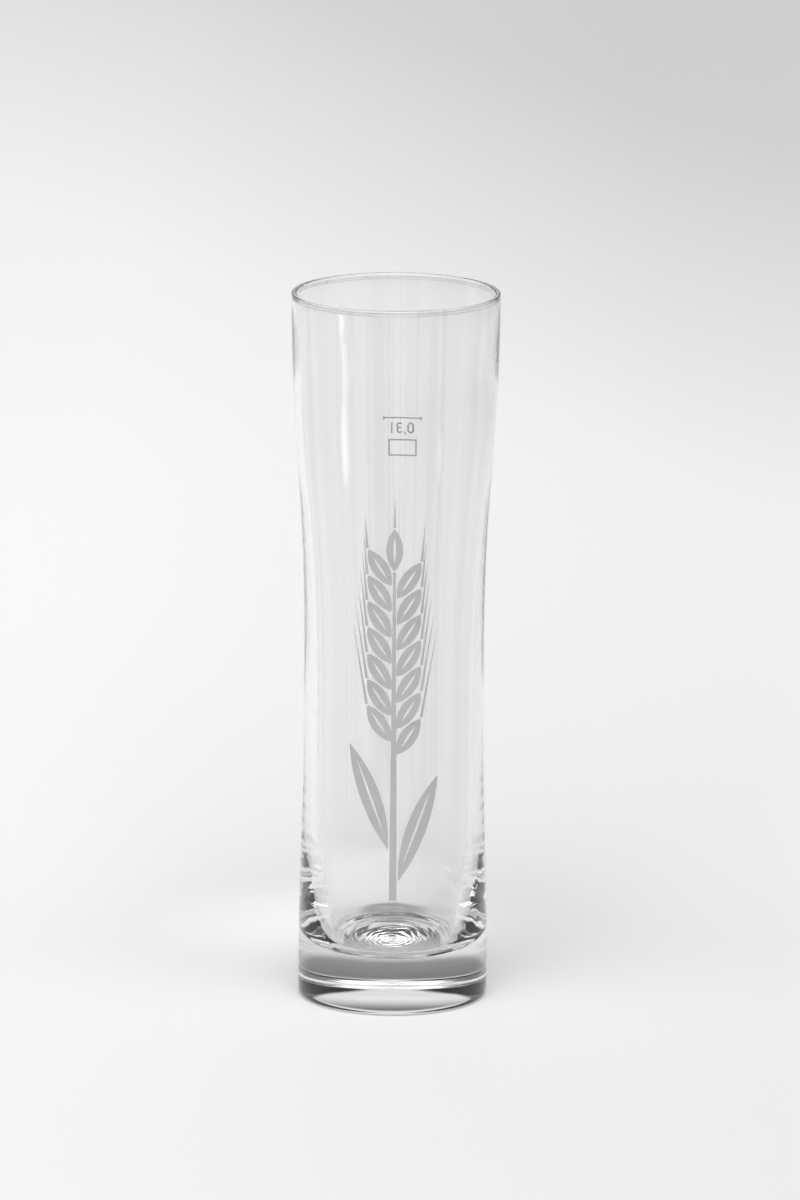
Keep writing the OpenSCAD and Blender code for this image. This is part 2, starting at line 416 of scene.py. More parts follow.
    def stria(self, turn: float, z: float) -> float:
        """Gives the faint upright cords that run through blown glass.

        Args:
            turn: Angle about the axis.
            z: Height above the table.

        Returns:
            The change in radius.
        """
        waves = sum(wave.at(outward(turn), z) for wave in self.striae)
        cords = sum(math.exp(-(((turn - cord) / self.cord_reach) ** 2)) for cord in self.cord_turns)
        return self.stria_height * waves + self.cord_depth * cords

    def turns(self) -> list[float]:
        """Gives the angles of the mesh's upright edges, closer together at the two cords.

        Returns:
            The angles about the axis, in order.
        """
        even = [2 * math.pi * i / self.segments for i in range(self.segments)]
        steps = range(-self.cord_steps, self.cord_steps + 1)
        near = [cord + self.cord_reach * step / 2 for cord in self.cord_turns for step in steps]
        apart = [turn for turn in even if all(abs(turn - other) > self.cord_reach / 4 for other in near)]
        return sorted(apart + near)

    def inner_point(self, r: float, z: float, turn: float) -> Point:
        """Moves a point of the cavity's outline by the waves in the glass.

        Args:
            r: Distance from the axis.
            z: Height above the table.
            turn: Angle about the axis.

        Returns:
            The moved distance from the axis and height.
        """
        form = self.form
        steep = smooth(form.floor_height, form.wall_start, z)
        radial = self.stria(turn, z) * steep
        if z < self.wrinkle_top:
            radial += self.wall_wrinkle(r, z, turn) * smooth(0.0, self.wrinkle_edge, steep)
        lift = self.floor_ripple(r, turn) * (1 - steep)
        return r + radial, z + lift

    def build(self) -> bpy.types.Object:
        """Turns the outline into the glass.

        Returns:
            The glass, which rides on the frame and stands for its node.
        """
        outer = self.underside() + self.outside() + self.rim()
        inner = self.inside()
        rings = [(point, False) for point in outer[1:]] + [(point, True) for point in inner[:-1]]
        turns = self.turns()
        verts = []
        for (r, z), is_inner in rings:
            for turn in turns:
                ring_r, ring_z = self.inner_point(r, z, turn) if is_inner else (r, z)
                verts.append((ring_r * math.cos(turn), ring_r * math.sin(turn), ring_z))
        faces = []
        count = len(turns)
        for ring in range(len(rings) - 1):
            base = ring * count
            for i in range(count):
                after = (i + 1) % count
                faces.append((base + i, base + after, base + count + after, base + count + i))
        under_pole, floor_pole = len(verts), len(verts) + 1
        verts += [(0.0, 0.0, outer[0][1]), (0.0, 0.0, inner[-1][1])]
        last = (len(rings) - 1) * count
        for i in range(count):
            after = (i + 1) % count
            faces.append((under_pole, after, i))
            faces.append((floor_pole, last + i, last + after))
        mesh = bpy.data.meshes.new("glass_vessel")
        mesh.from_pydata(verts, [], faces)
        mesh.shade_smooth()
        return settle(put("glass_vessel", mesh), "glass_body")

    def dress(self, piece: bpy.types.Object, finish: "ClearGlass") -> None:
        """Gives the glass its finish."""
        piece.data.materials.append(finish.material())


def settle(piece: bpy.types.Object, node: str) -> bpy.types.Object:
    """Lets a piece ride on the frame and stand for a CAD node.

    Args:
        piece: The new piece.
        node: CAD node that it replaces.

    Returns:
        The same piece.
    """
    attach(piece, BODY)
    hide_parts(node)
    LOG.info("piece %s stands for %s", piece.name, node)
    return piece


@dataclass(frozen=True)
class Island:
    """A patch of a flat drawing: its outer outline and its holes, in x and z."""

    outline: Loop
    holes: tuple[Loop, ...] = ()

    def moved(self, x: float, z: float, lean: float = 0.0, flip: bool = False) -> "Island":
        """Leans the patch to the right, mirrors it if asked, and then moves it.

        Args:
            x: Move to the right.
            z: Move up.
            lean: Angle from upright.
            flip: Whether left and right change places before the move.

        Returns:
            The placed patch.
        """
        side = -1.0 if flip else 1.0
        c, s = math.cos(lean), math.sin(lean)

        def place(loop: Loop) -> Loop:
            """Places one loop."""
            return [(x + side * (px * c + pz * s), z + pz * c - px * s) for px, pz in loop]

        return Island(place(self.outline), tuple(place(hole) for hole in self.holes))


def bowed(length: float, bow: float, count: int = 20) -> Loop:
    """Gives the points of an arc over an upright chord that starts at zero.

    Args:
        length: Length of the chord.
        bow: Rise of the arc to the right.
        count: Number of steps.

    Returns:
        The points from the chord's lower to its upper end.
    """
    radius = (length**2 / 4 + bow**2) / (2 * bow)
    half = math.asin(length / (2 * radius))
    angles = spread(-half, half, count)
    return [(radius * math.cos(a) - radius + bow, length / 2 + radius * math.sin(a)) for a in angles]


def pointed_oval(length: float, left_bow: float, right_bow: float) -> Loop:
    """Gives an oval with a point at each end, standing on its lower point.

    Args:
        length: Height of the oval.
        left_bow: Bow of its left edge.
        right_bow: Bow of its right edge.

    Returns:
        The closed outline.
    """
    right = bowed(length, right_bow)
    left = [(-x, z) for x, z in bowed(length, left_bow)]
    return right + left[-2:0:-1]


def rectangle(width: float, height: float) -> Loop:
    """Gives a rectangle about its middle."""
    w, h = width / 2, height / 2
    return [(-w, -h), (w, -h), (w, h), (-w, h)]


@dataclass
class WallPrint:
    """A print of enamel on the outer wall, from flat patches laid onto the curve of the glass."""

    form: GlassForm
    proud: float = 0.06 * MM
    sunk: float = 0.03 * MM
    cell_x: float = 1.0 * MM
    cell_z: float = 2.5 * MM

    def cut_flat(self, island: Island) -> bmesh.types.BMesh:
        """Fills a patch and cuts it into cells small enough to follow the wall.

        Args:
            island: The patch.

        Returns:
            The flat mesh, with x and z in its first two coordinates.
        """
        flat = bmesh.new()
        edges = []
        for loop in (island.outline, *island.holes):
            verts = [flat.verts.new((x, z, 0.0)) for x, z in loop]
            edges += [flat.edges.new((a, b)) for a, b in zip(verts, verts[1:] + verts[:1])]
        bmesh.ops.triangle_fill(flat, use_beauty=True, use_dissolve=False, edges=edges)
        for axis, cell in ((0, self.cell_x), (1, self.cell_z)):
            places = [v.co[axis] for v in flat.verts]
            first, last = math.ceil(min(places) / cell), math.floor(max(places) / cell)
            normal = Vector((1.0, 0.0, 0.0)) if axis == 0 else Vector((0.0, 1.0, 0.0))
            for step in range(first, last + 1):
                geometry = flat.verts[:] + flat.edges[:] + flat.faces[:]
                plane = normal * (step * cell)
                bmesh.ops.bisect_plane(
                    flat, geom=geometry, dist=CUT_TOLERANCE, plane_co=plane, plane_no=normal
                )
        return flat

    def lay(self, x: float, z: float, lift: float, side: Side) -> Vector:
        """Lays a point of the drawing on the wall.

        Args:
            x: Place across the drawing.
            z: Height above the table.
            lift: Distance off the wall.
            side: Side of the glass.

        Returns:
            The point in space.
        """
        radius = self.form.outer_radius(z) + lift
        point = Vector((x, -math.sqrt(radius**2 - x**2), z))
        return Matrix.Rotation(side.value, 3, "Z") @ point

    def build(self, name: str, node: str, islands: list[Island], side: Side) -> bpy.types.Object:
        """Makes the print as closed thin solids.

        Args:
            name: Name of the piece.
            node: CAD node that it replaces.
            islands: Patches of the drawing.
            side: Side of the glass.

        Returns:
            The print.
        """
        solid = bmesh.new()
        for island in islands:
            flat = self.cut_flat(island)
            tops = {v: solid.verts.new(self.lay(v.co.x, v.co.y, self.proud, side)) for v in flat.verts}
            feet = {v: solid.verts.new(self.lay(v.co.x, v.co.y, -self.sunk, side)) for v in flat.verts}
            for face in flat.faces:
                solid.faces.new([tops[v] for v in face.verts]).smooth = True
                solid.faces.new([feet[v] for v in reversed(face.verts)]).smooth = True
            for edge in flat.edges:
                if len(edge.link_faces) == 1:
                    a, b = edge.verts
                    solid.faces.new((tops[a], tops[b], feet[b], feet[a]))
                    solid.edges.get((tops[a], tops[b])).smooth = False
                    solid.edges.get((feet[a], feet[b])).smooth = False
            flat.free()
        bmesh.ops.recalc_face_normals(solid, faces=solid.faces[:])
        mesh = bpy.data.meshes.new(name)
        solid.to_mesh(mesh)
        solid.free()
        return settle(put(name, mesh), node)

    def fire(self, drawings: dict[str, list[Island]], side: Side, finish: "FiredEnamel") -> None:
        """Makes and dresses one print for each drawing.

        Args:
            drawings: Patches of each drawing, under its name.
            side: Side of the glass.
            finish: The enamel.
        """
        for name, islands in drawings.items():
            piece = self.build(f"{name}_enamel", f"{name}_print", islands, side)
            piece.data.materials.append(finish.material())


@dataclass
class BarleyEar:
    """Barley ear on the front of the glass: stalk, leaves, kernels and awns."""

    printer: WallPrint
    gap: float = 0.4 * MM
    stalk_low: float = 37.0 * MM
    stalk_low_width: float = 2.4 * MM
    stalk_top_width: float = 0.9 * MM
    ear_height: float = 83.0 * MM
    rows: int = 7
    pitch: float = 8.2 * MM
    kernel_length: float = 13.4 * MM
    kernel_width: float = 5.2 * MM
    kernel_lean: float = math.radians(33.0)
    crease_length: float = 8.0 * MM
    crease_width: float = 0.7 * MM
    awn_low_length: float = 28.0 * MM
    awn_top_length: float = 10.0 * MM
    awn_width: float = 0.9 * MM
    awn_low_lean: float = math.radians(10.0)
    awn_high_lean: float = math.radians(4.0)
    right_leaf: float = 43.0 * MM
    left_leaf: float = 53.0 * MM
    leaf_length: float = 35.0 * MM
    leaf_inner_bow: float = 3.6 * MM
    leaf_outer_bow: float = 2.6 * MM
    leaf_lean: float = math.radians(20.0)
    vein_length: float = 24.0 * MM
    vein_width: float = 0.7 * MM

    @property
    def ear_top(self) -> float:
        """Height of the topmost kernel's lower point."""
        return self.ear_height + self.rows * self.pitch + self.gap

    def place(self, index: int) -> tuple[float, float, bool]:
        """Gives the foot of a kernel, in turn on the right and the left of the stalk.

        Args:
            index: Place up the ear.

        Returns:
            Its x, its height and whether it is on the left.
        """
        is_left = index % 2 == 1
        x = self.stalk_top_width / 2 + self.gap
        return -x if is_left else x, self.ear_height + index * self.pitch / 2, is_left

    def stalk(self) -> list[Island]:
        """Draws the tapered stalk.

        Returns:
            The patch.
        """
        low, top = self.stalk_low_width / 2, self.stalk_top_width / 2
        end = self.ear_top - self.gap
        return [Island([(-low, self.stalk_low), (low, self.stalk_low), (top, end), (-top, end)])]

    def leaves(self) -> list[Island]:
        """Draws one leaf on each side of the stalk, each with a vein left open.

        Returns:
            The two patches.
        """
        shift = (self.leaf_outer_bow - self.leaf_inner_bow) / 2
        start = (self.leaf_length - self.vein_length) / 2
        vein = pointed_oval(self.vein_length, self.vein_width / 2, self.vein_width / 2)
        blade = pointed_oval(self.leaf_length, self.leaf_inner_bow, self.leaf_outer_bow)
        leaf = Island(blade, ([(x + shift, z + start) for x, z in vein],))
        x = self.stalk_low_width / 2 + self.gap
        right = leaf.moved(x, self.right_leaf, self.leaf_lean)
        left = leaf.moved(-x, self.left_leaf, self.leaf_lean, flip=True)
        return [right, left]

    def kernels(self) -> list[Island]:
        """Draws the kernels, each with its crease left open.

        Returns:
            The patches, the topmost kernel last.
        """
        start = (self.kernel_length - self.crease_length) / 2
        crease = pointed_oval(self.crease_length, self.crease_width / 2, self.crease_width / 2)
        grain = pointed_oval(self.kernel_length, self.kernel_width / 2, self.kernel_width / 2)
        kernel = Island(grain, ([(x, z + start) for x, z in crease],))
        sides = []
        for index in range(2 * self.rows):
            x, z, is_left = self.place(index)
            sides.append(kernel.moved(x, z, self.kernel_lean, flip=is_left))
        return sides + [kernel.moved(0.0, self.ear_top)]

    def awns(self) -> list[Island]:
        """Draws the awns, shorter and more upright towards the top.

        Returns:
            The patches, the topmost awn last.
        """
        last = 2 * self.rows - 1
        tip = self.kernel_length + self.gap
        drawn = []
        for index in range(last + 1):
            x, z, is_left = self.place(index)
            lean = self.awn_low_lean + (self.awn_high_lean - self.awn_low_lean) * index / last
            share = index / (last + 1)
            length = self.awn_low_length + (self.awn_top_length - self.awn_low_length) * share
            out = tip * math.sin(self.kernel_lean)
            awn = self.awn(length).moved(
                x - out if is_left else x + out, z + tip * math.cos(self.kernel_lean), lean, is_left
            )
            drawn.append(awn)
        return drawn + [self.awn(self.awn_top_length).moved(0.0, self.ear_top + tip)]

    def awn(self, length: float) -> Island:
        """Draws one upright awn of a length, standing on the middle of its foot."""
        half = self.awn_width / 2
        return Island([(-half, 0.0), (half, 0.0), (0.0, length)])

    def build(self, finish: "FiredEnamel") -> None:
        """Fires the whole ear onto the front.

        Args:
            finish: The enamel.
        """
        drawings = {
            "barley_stalk": self.stalk(),
            "barley_leaves": self.leaves(),
            "barley_kernels": self.kernels(),
            "barley_awns": self.awns(),
        }
        self.printer.fire(drawings, Side.FRONT, finish)


@dataclass
class MeasureMark:
    """Measure mark on the back of the glass: fill line, figures and a plain frame."""

    printer: WallPrint
    fill_height: float
    shift: float = 2.3 * MM
    line_length: float = 12.6 * MM
    line_width: float = 0.4 * MM
    tick_height: float = 1.1 * MM
    figure_drop: float = 1.2 * MM
    figure_height: float = 3.4 * MM
    stroke: float = 0.5 * MM
    comma_length: float = 1.3 * MM
    comma_lean: float = math.radians(20.0)
    nought_width: float = 2.0 * MM
    figure_space: float = 0.6 * MM
    unit_space: float = 1.3 * MM
    frame_drop: float = 1.9 * MM
    frame_width: float = 9.1 * MM
    frame_height: float = 5.2 * MM
    frame_stroke: float = 0.4 * MM
    round_steps: int = 16
    bowl_steps: int = 28
    bowl_start: float = math.radians(150.0)
    bowl_joint: float = 1.25

    @property
    def figure_top(self) -> float:
        """Height of the top of the figures."""
        return self.fill_height - self.line_width / 2 - self.figure_drop

    def line(self) -> list[Island]:
        """Draws the fill line with a tick at each end, as one outline.

        Returns:
            The patch.
        """
        end, tick = self.line_length / 2, self.tick_height / 2
        half, inner = self.line_width / 2, self.line_length / 2 - self.line_width
        outline = [
            (-end, -tick), (-inner, -tick), (-inner, -half), (inner, -half), (inner, -tick), (end, -tick),
            (end, tick), (inner, tick), (inner, half), (-inner, half), (-inner, tick), (-end, tick),
        ]
        return [Island(outline).moved(-self.shift, self.fill_height)]

    def long_round(self, width: float, height: float) -> Loop:
        """Gives an upright oblong with round ends about its middle.

        Args:
            width: Its width.
            height: Its height.

        Returns:
            The closed outline.
        """
        radius, rise = width / 2, (height - width) / 2
        angles = spread(0, math.pi, self.round_steps)
        upper = [(radius * math.cos(a), rise + radius * math.sin(a)) for a in angles]
        return upper + [(-x, -z) for x, z in upper]

    def nought(self) -> Island:
        """Draws a nought about its middle.

        Returns:
            The patch.
        """
        inner_width = self.nought_width - 2 * self.stroke
        inner_height = self.figure_height - 2 * self.stroke
        hole = self.long_round(inner_width, inner_height)
        return Island(self.long_round(self.nought_width, self.figure_height), (hole,))

    def three_width(self) -> float:
        """Gives the width of the figure three."""
        return (self.figure_height + self.bowl_joint * self.stroke) / 2

    def three(self) -> Island:
        """Draws a three with two round bowls, centred in height.

        Returns:
            The patch, with its left edge at zero.
        """
        outer = self.three_width() / 2
        inner = outer - self.stroke
        rise = outer - self.bowl_joint * self.stroke / 2
        waist = math.acos(min(1.0, rise / outer)) - math.pi / 2
        inner_end = -math.pi / 2 - math.asin(self.stroke / inner)
        out = spread(self.bowl_start, waist, self.bowl_steps)
        home = spread(inner_end, self.bowl_start, self.bowl_steps)
        upper = [(outer + outer * math.cos(a), rise + outer * math.sin(a)) for a in out]
        back = [(outer + inner * math.cos(a), rise + inner * math.sin(a)) for a in home]
        lower = [(x, -z) for x, z in reversed(upper[:-1])]
        lower_back = [(x, -z) for x, z in reversed(back)]
        return Island(upper + lower + lower_back + back)

    def figures(self) -> list[Island]:
        """Draws the plain capacity figures below the fill line.

        Returns:
            The patches, from left to right.
        """
        low = -self.figure_height / 2
        comma_x = self.nought_width + self.figure_space
        three_x = comma_x + self.comma_length * math.sin(self.comma_lean) + self.figure_space
        unit_x = three_x + self.three_width() + self.unit_space
        comma = Island(pointed_oval(self.comma_length, self.stroke / 2, self.stroke / 2))
        x = -self.shift - (unit_x + self.stroke) / 2
        z = self.figure_top - self.figure_height / 2
        return [
            self.nought().moved(x + self.nought_width / 2, z),
            comma.moved(x + comma_x, z + low - self.comma_length / 2, self.comma_lean),
            self.three().moved(x + three_x, z),
            Island(rectangle(self.stroke, self.figure_height)).moved(x + unit_x + self.stroke / 2, z),
        ]

    def border(self) -> list[Island]:
        """Draws the plain empty frame below the figures.

        Returns:
            The patch.
        """
        top = self.figure_top - self.figure_height - self.frame_drop
        edges = 2 * self.frame_stroke
        hole = rectangle(self.frame_width - edges, self.frame_height - edges)
        island = Island(rectangle(self.frame_width, self.frame_height), (hole,))
        return [island.moved(-self.shift, top - self.frame_height / 2)]

    def build(self, finish: "FiredEnamel") -> None:
        """Fires the mark onto the back.

        Args:
            finish: The enamel.
        """
        drawings = {
            "fill_line": self.line(),
            "capacity_figures": self.figures(),
            "mark_frame": self.border(),
        }
        self.printer.fire(drawings, Side.BACK, finish)


class NodeTree:
    """Small helper that adds shader nodes to a node tree and feeds their inputs."""

    def __init__(self, tree: bpy.types.NodeTree) -> None:
        """Keeps the tree to add to."""
        self.tree = tree

    def feed(self, end: bpy.types.NodeSocket, value: Feed) -> None:
        """Links an output to an input, or sets the input's value.

        Args:
            end: The input.
            value: An output, or the value itself.
        """
        if isinstance(value, bpy.types.NodeSocket):
            self.tree.links.new(value, end)
        else:
            end.default_value = value

    def add(
        self, kind: str, feeds: dict[int | str, Feed] | None = None, **settings: object
    ) -> bpy.types.Node:
        """Adds a node.

        Args:
            kind: Blender's name for the kind of node.
            feeds: What its inputs get, under their names or places.
            **settings: Attributes to set on it.

        Returns:
            The node.
        """
        node = self.tree.nodes.new(kind)
        for name, value in settings.items():
            setattr(node, name, value)
        for name, value in (feeds or {}).items():
            self.feed(node.inputs[name], value)
        return node

    def math(self, operation: str, *values: Feed) -> bpy.types.NodeSocket:
        """Adds a sum on numbers, with its terms in order, and gives the result."""
        return self.add("ShaderNodeMath", dict(enumerate(values)), operation=operation).outputs["Value"]

    def ramp(
        self, value: Feed, span: Point, result: Point = (0.0, 1.0), is_soft: bool = True
    ) -> bpy.types.NodeSocket:
        """Maps a span of values onto another and holds its ends.

        Args:
            value: Value to map.
            span: Values at the start and the end.
            result: Results at the start and the end.
            is_soft: Whether the ends are rounded.

        Returns:
            The result's socket.
        """
        feeds = {"Value": value, "From Min": span[0], "From Max": span[1]}
        feeds |= {"To Min": result[0], "To Max": result[1]}
        kind = "SMOOTHSTEP" if is_soft else "LINEAR"
        return self.add("ShaderNodeMapRange", feeds, interpolation_type=kind).outputs["Result"]

    def mix(self, share: Feed, first: Feed, second: Feed) -> bpy.types.NodeSocket:
        """Mixes two colours, by the share of the second."""
        feeds = {"Factor": share, "A": first, "B": second}
        return self.add("ShaderNodeMix", feeds, data_type="RGBA").outputs["Result"]

    def vector(self, operation: str, *values: Feed) -> bpy.types.Node:
        """Adds a sum on vectors, with its terms in order, and gives the node."""
        return self.add("ShaderNodeVectorMath", dict(enumerate(values)), operation=operation)

    def axes(self, place: Feed) -> bpy.types.NodeOutputs:
        """Splits a vector into its X, Y and Z."""
        return self.add("ShaderNodeSeparateXYZ", {"Vector": place}).outputs

    def heading(self, place: Feed) -> bpy.types.NodeSocket:
        """Gives the level direction in which a place lies, seen from the axis."""
        level = self.vector("MULTIPLY", place, LEVEL).outputs["Vector"]
        return self.vector("NORMALIZE", level).outputs["Vector"]

    def distance(self, place: Feed, centre: Feed) -> bpy.types.NodeSocket:
        """Gives the distance between two places."""
        return self.vector("DISTANCE", place, centre).outputs["Value"]

    def film(self, place: Feed, cloud_scale: float, grain_scale: float) -> bpy.types.NodeOutputs:
        """Adds the film on a surface, with its cloud and its grain as outputs."""
        feeds = {"Vector": place, "Cloud Scale": cloud_scale, "Grain Scale": grain_scale}
        return self.add("ShaderNodeGroup", feeds, node_tree=surface_film()).outputs

    def bump(self, height: Feed, depth: float) -> bpy.types.NodeSocket:
        """Turns a height from 0 to 1 into a normal, for bumps of the given depth."""
        return self.add("ShaderNodeBump", {"Height": height, "Distance": depth}).outputs["Normal"]


def surface_film() -> bpy.types.NodeTree:
    """Builds the group for the uneven film that firing and handling leave on a surface, once.

    Returns:
        The group: from a coordinate and two scales it gives a cloudy mask and a fine height.
    """
    name = "surface film"
    if name in bpy.data.node_groups:
        return bpy.data.node_groups[name]
    group = bpy.data.node_groups.new(name, "ShaderNodeTree")
    face = group.interface
    face.new_socket("Vector", in_out="INPUT", socket_type="NodeSocketVector")
    for word in ("Cloud", "Grain"):
        face.new_socket(f"{word} Scale", in_out="INPUT", socket_type="NodeSocketFloat")
        face.new_socket(word, in_out="OUTPUT", socket_type="NodeSocketFloat")
    nodes = NodeTree(group)
    start = nodes.add("NodeGroupInput").outputs
    end = nodes.add("NodeGroupOutput").inputs
    feeds = {"Vector": start["Vector"], "Scale": start["Cloud Scale"]}
    feeds |= {"Detail": CLOUD_DETAIL, "Roughness": CLOUD_ROUGHNESS}
    cloud = nodes.add("ShaderNodeTexNoise", feeds)
    feeds = {"Vector": start["Vector"], "Scale": start["Grain Scale"], "Detail": GRAIN_DETAIL}
    grain = nodes.add("ShaderNodeTexNoise", feeds)
    nodes.feed(end["Cloud"], nodes.ramp(cloud.outputs["Fac"], (CLOUD_START, CLOUD_END)))
    nodes.feed(end["Grain"], grain.outputs["Fac"])
    return group


def new_material(name: str) -> tuple[bpy.types.Material, NodeTree, bpy.types.NodeInputs]:
    """Makes a material with nodes.

    Args:
        name: Its name.

    Returns:
        The material, its nodes and the inputs of its shader.
    """
    material = bpy.data.materials.new(name)
    material.use_nodes = True
    shader = material.node_tree.nodes["Principled BSDF"]
    return material, NodeTree(material.node_tree), shader.inputs


@dataclass(frozen=True)
class ClearGlass:
    """Clear soda-lime glass, fire-polished, with a trace of handling on it."""

    clear: Tone = (0.945, 0.945, 0.945)
    banded: Tone = (0.905, 0.905, 0.905)
    streak_line_tone: Tone = (0.82, 0.82, 0.82)
    refraction: float = 1.52
    film_roughness: float = 0.012
    cloud_scale: float = 28.0
    grain_scale: float = 160.0
    bump_depth: float = 0.004 * MM
    streak_scale: float = 5.5
    streak_detail: float = 1.0
    streak_roughness: float = 0.5
    streak_start: float = 45 * MM
    streak_end: float = 80 * MM
    band_level: float = 0.5
    band_edge: float = 0.04
    streak_line_level: float = 0.36
    streak_line_edge: float = 0.02

    def material(self) -> bpy.types.Material:
        """Makes the material, with faint upright bands and lines above the foot.

        Returns:
            The glass material.
        """
        material, nodes, shader = new_material("clear_glass")
        shader["IOR"].default_value = self.refraction
        shader["Transmission Weight"].default_value = 1.0
        place = nodes.add("ShaderNodeTexCoord").outputs["Object"]
        # Darker upright bands and thin darker lines in the glass's tint above the foot, from a noise that
        # changes only round the axis.
        feeds = {"Vector": nodes.heading(place), "Scale": self.streak_scale}
        feeds |= {"Detail": self.streak_detail, "Roughness": self.streak_roughness}
        streak = nodes.add("ShaderNodeTexNoise", feeds).outputs["Fac"]
        drawn = nodes.ramp(nodes.axes(place)["Z"], (self.streak_start, self.streak_end))
        band = nodes.ramp(streak, (self.band_level, self.band_level + self.band_edge))
        off = nodes.math("ABSOLUTE", nodes.math("SUBTRACT", streak, self.streak_line_level))
        cord = nodes.ramp(off, (0.0, self.streak_line_edge), (1.0, 0.0))
        tint = nodes.mix(nodes.math("MULTIPLY", band, drawn), (*self.clear, 1.0), (*self.banded, 1.0))
        lined = nodes.mix(nodes.math("MULTIPLY", cord, drawn), tint, (*self.streak_line_tone, 1.0))
        film = nodes.film(place, self.cloud_scale, self.grain_scale)
        rough = nodes.ramp(film["Cloud"], (0.0, 1.0), (0.0, self.film_roughness), is_soft=False)
        nodes.feed(shader["Base Color"], lined)
        nodes.feed(shader["Roughness"], rough)
        nodes.feed(shader["Normal"], nodes.bump(film["Grain"], self.bump_depth))
        return material


@dataclass(frozen=True)
class FiredEnamel:
    """Grey enamel, printed through a screen and fired on, satin and a little uneven."""

    name: str = "fired_enamel"
    light: Tone = (0.68, 0.68, 0.68)
    dark: Tone = (0.6, 0.6, 0.6)
    smooth_roughness: float = 0.36
    rough_roughness: float = 0.52
    cloud_scale: float = 55.0
    grain_scale: float = 1500.0
    grain_share: float = 0.5
    bump_depth: float = 0.012 * MM

    def material(self) -> bpy.types.Material:
        """Makes the material, once for all prints in this enamel.

        Returns:
            The enamel material.
        """
        if self.name in bpy.data.materials:
            return bpy.data.materials[self.name]
        material, nodes, shader = new_material(self.name)
        place = nodes.add("ShaderNodeTexCoord").outputs["Object"]
        film = nodes.film(place, self.cloud_scale, self.grain_scale)
        share = nodes.math("MULTIPLY_ADD", film["Grain"], self.grain_share, film["Cloud"])
        span = (self.smooth_roughness, self.rough_roughness)
        nodes.feed(shader["Base Color"], nodes.mix(share, (*self.light, 1.0), (*self.dark, 1.0)))
        nodes.feed(shader["Roughness"], nodes.ramp(film["Cloud"], (0.0, 1.0), span, is_soft=False))
        nodes.feed(shader["Normal"], nodes.bump(film["Grain"], self.bump_depth))
        return material


@dataclass(frozen=True)
class TablePaper:
    """Pale paper under the glass, which looks white far from it and keeps the glass's shadow; its glow
    also holds a painted shadow behind the foot, a painted pool of light behind the glass and painted
    shade towards the right.
    """

    colour: Tone = (0.88, 0.88, 0.88)
    roughness: float = 0.8
    gloss: float = 0.1
    side_share: float = 0.8
    white_start: float = -0.35
    white_end: float = 0.95
    white_near: float = 0.216
    white_far: float = 0.416
    # Painted shade: the glow fades towards the far right corner, down to a share of itself.
    right_share: float = 2.0
    corner_shade_start: float = 1.0
    corner_shade_end: float = 1.9
    corner_shade_tone: float = 0.6
    # Painted shadow: seen through the glass, the glow fades out within these two radii of a point just
    # behind the foot.
    painted_contact_shadow: Tone = (0.0, 42 * MM, 0.0)
    contact_shadow_start: float = 9 * MM
    contact_shadow_end: float = 19 * MM
    # Painted light: a pale pool in the glow on the paper behind the glass, with its middle, reach and
    # tone.
    fill: Tone = (-14 * MM, 78 * MM, 0.0)
    light_spot_reach: float = 74 * MM
    light_spot_tone: float = 0.24
    # Painted light and shade: the glow is raised on the left and lowered on the right, within this reach.
    side_light_reach: float = 120 * MM
    side_light_tone: float = 0.036

    def material(self) -> bpy.types.Material:
        """Makes the material.

        Returns:
            The paper, whose white shows only to the eye and through or in clear glass.
        """
        material, nodes, shader = new_material("table_paper")
        shader["Base Color"].default_value = (*self.colour, 1.0)
        shader["Roughness"].default_value = self.roughness
        shader["Specular IOR Level"].default_value = self.gloss
        shader["Emission Color"].default_value = WHITE
        place = nodes.add("ShaderNodeNewGeometry").outputs["Position"]
        axes = nodes.axes(place)
        away = nodes.math("MULTIPLY_ADD", nodes.math("ABSOLUTE", axes["X"]), self.side_share, axes["Y"])
        white = nodes.ramp(away, (self.white_start, self.white_end), (self.white_near, self.white_far))
        corner = nodes.math("MULTIPLY_ADD", axes["X"], self.right_share, axes["Y"])
        # Painted shade: the glow fades towards the far right corner.
        painted_corner_shade = nodes.ramp(corner, (self.corner_shade_start, self.corner_shade_end), (1.0, self.corner_shade_tone), is_soft=False)
        # Painted light and shade: the glow is lighter on the left and darker on the right.
        span, fall = (-self.side_light_reach, self.side_light_reach), (self.side_light_tone, -self.side_light_tone)
        painted_side_light = nodes.ramp(axes["X"], span, fall, is_soft=False)
        # Painted light: a pale pool on the paper behind the glass, which lifts the shadow there.
        fill = nodes.ramp(nodes.distance(place, self.fill), (0.0, self.light_spot_reach), (self.light_spot_tone, 0.0))
        tone = nodes.math("MULTIPLY", white, painted_corner_shade)
        for glow in (painted_side_light, fill):
            tone = nodes.math("ADD", tone, glow)
        path = nodes.add("ShaderNodeLightPath").outputs
        # Painted shadow: for rays through the glass only, the glow fades out on the paper just behind the
        # foot.
        painted_contact_shadow = nodes.ramp(nodes.distance(place, self.painted_contact_shadow), (self.contact_shadow_start, self.contact_shadow_end))
        direct = nodes.math("SUBTRACT", 1.0, path["Is Transmission Ray"])
        tone = nodes.math("MULTIPLY", tone, nodes.math("MAXIMUM", painted_contact_shadow, direct))
        seen = nodes.math("MAXIMUM", path["Is Camera Ray"], path["Is Glossy Ray"])
        seen = nodes.math("MAXIMUM", seen, path["Is Transmission Ray"])
        nodes.feed(shader["Emission Strength"], nodes.math("MULTIPLY", seen, tone))
        return material


